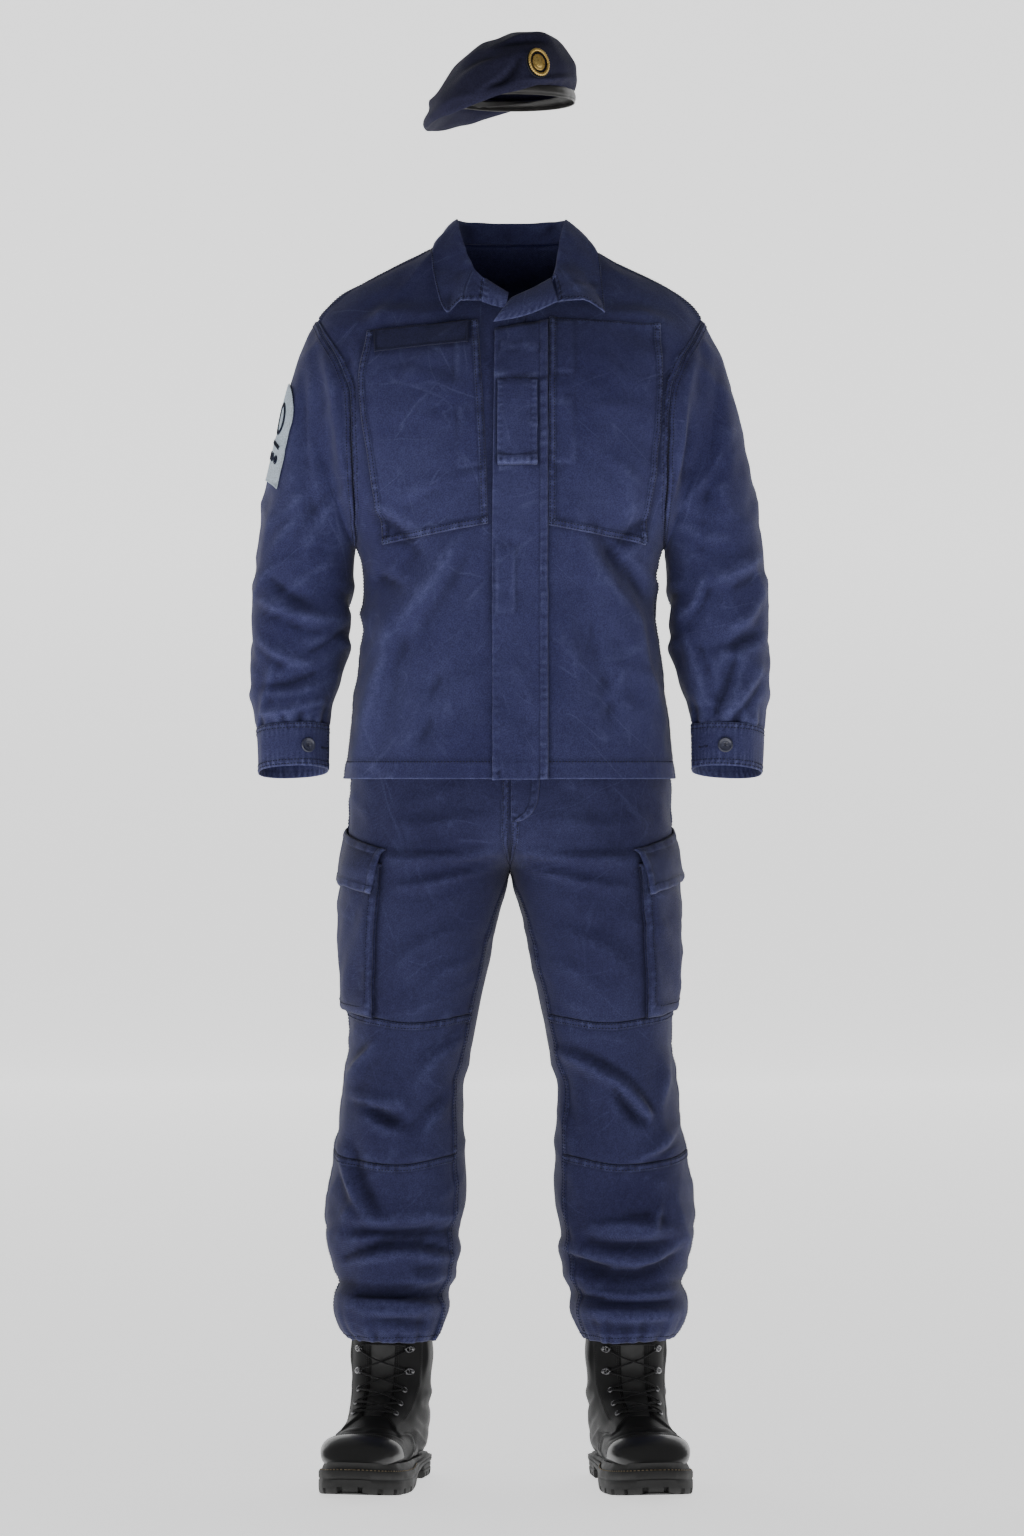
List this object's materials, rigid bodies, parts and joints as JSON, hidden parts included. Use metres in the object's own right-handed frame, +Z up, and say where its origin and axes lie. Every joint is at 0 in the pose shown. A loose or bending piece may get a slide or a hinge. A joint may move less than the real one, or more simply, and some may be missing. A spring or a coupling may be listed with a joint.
{
  "type": "naval uniform",
  "caption": "Navy twill working uniform held in the shape of a standing wearer: buttoned jacket, cargo trousers bloused over laced ankle boots, and a draped beret.",
  "frame": {"origin": "where the wearer's shoulders carry the jacket, on the middle line, 1.45 m above the soles", "axes": "+Z up, along the standing figure; +X towards the wearer's left; -Y the front"},
  "size_m": [0.6652, 0.3558, 1.8311],
  "materials": {
    "jacket_cloth": "matte fine twill",
    "trouser_cloth": "matte fine twill",
    "badge_cloth": "embroidered",
    "button_plastic": "satin",
    "beret_wool": "felted wool",
    "beret_leather": "smooth",
    "badge_metal": "polished",
    "badge_backing": "matte felt",
    "boot_leather": "polished",
    "boot_rubber": "matte",
    "lace_cord": "braided"
  },
  "bodies": {
    "root": {"jacket_front_left": "jacket_cloth", "jacket_front_right": "jacket_cloth", "jacket_back": "jacket_cloth", "sleeve_left": "jacket_cloth", "sleeve_right": "jacket_cloth", "cuff_left": "jacket_cloth", "cuff_right": "jacket_cloth", "sleeve_badge": "badge_cloth", "chest_pocket_left": "jacket_cloth", "chest_pocket_right": "jacket_cloth", "front_placket": "jacket_cloth", "rank_tab": "jacket_cloth", "name_tape": "jacket_cloth", "collar": "jacket_cloth", "lapel_left": "jacket_cloth", "lapel_right": "jacket_cloth", "thigh_front_left": "trouser_cloth", "thigh_front_right": "trouser_cloth", "knee_panel_left": "trouser_cloth", "knee_panel_right": "trouser_cloth", "shin_front_left": "trouser_cloth", "shin_front_right": "trouser_cloth", "leg_back_left": "trouser_cloth", "leg_back_right": "trouser_cloth", "cargo_pocket_left": "trouser_cloth", "cargo_pocket_right": "trouser_cloth", "cargo_flap_left": "trouser_cloth", "cargo_flap_right": "trouser_cloth", "waistband": "trouser_cloth", "fly": "trouser_cloth", "cuff_button_left": "button_plastic", "cuff_button_right": "button_plastic", "waist_button": "button_plastic", "beret_crown": "beret_wool", "beret_band": "beret_leather", "badge_backing": "badge_backing", "badge_ring": "badge_metal", "badge_centre": "badge_metal", "boot_upper_left": "boot_leather", "toe_cap_left": "boot_leather", "boot_tongue_left": "boot_leather", "boot_sole_left": "boot_rubber", "boot_heel_left": "boot_rubber", "lace_left": "lace_cord", "boot_upper_right": "boot_leather", "toe_cap_right": "boot_leather", "boot_tongue_right": "boot_leather", "boot_sole_right": "boot_rubber", "boot_heel_right": "boot_rubber", "lace_right": "lace_cord"}
  },
  "joints": []
}
